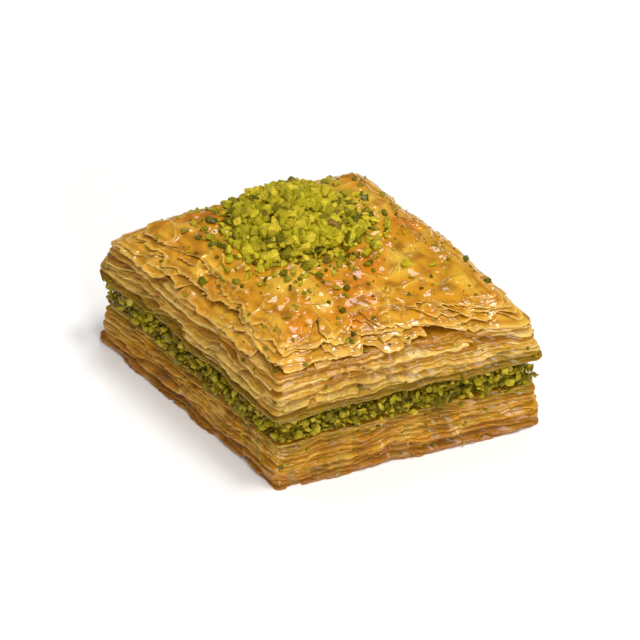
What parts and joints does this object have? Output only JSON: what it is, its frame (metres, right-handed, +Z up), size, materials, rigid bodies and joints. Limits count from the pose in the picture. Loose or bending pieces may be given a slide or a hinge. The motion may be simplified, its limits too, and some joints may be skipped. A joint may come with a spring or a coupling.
{
  "type": "baklava piece",
  "caption": "Diamond-shaped piece of layered phyllo pastry with a ground nut filling, a domed glazed crust and a small heap of ground nuts on top.",
  "frame": {"origin": "middle of the flat base, on the surface that the piece stands on", "axes": "+Z up, +X along the long diagonal, +Y along the short diagonal"},
  "size_m": [0.068, 0.0484, 0.0312],
  "materials": {
    "glazed_phyllo": "baked phyllo glazed with syrup",
    "soaked_phyllo": "phyllo soaked in syrup",
    "ground_pistachio_filling": "moist ground pistachio",
    "ground_pistachio": "dry ground pistachio"
  },
  "bodies": {
    "root": {"lower_phyllo": "soaked_phyllo", "pistachio_filling": "ground_pistachio_filling", "upper_phyllo": "glazed_phyllo", "pistachio_heap": "ground_pistachio"}
  },
  "joints": []
}
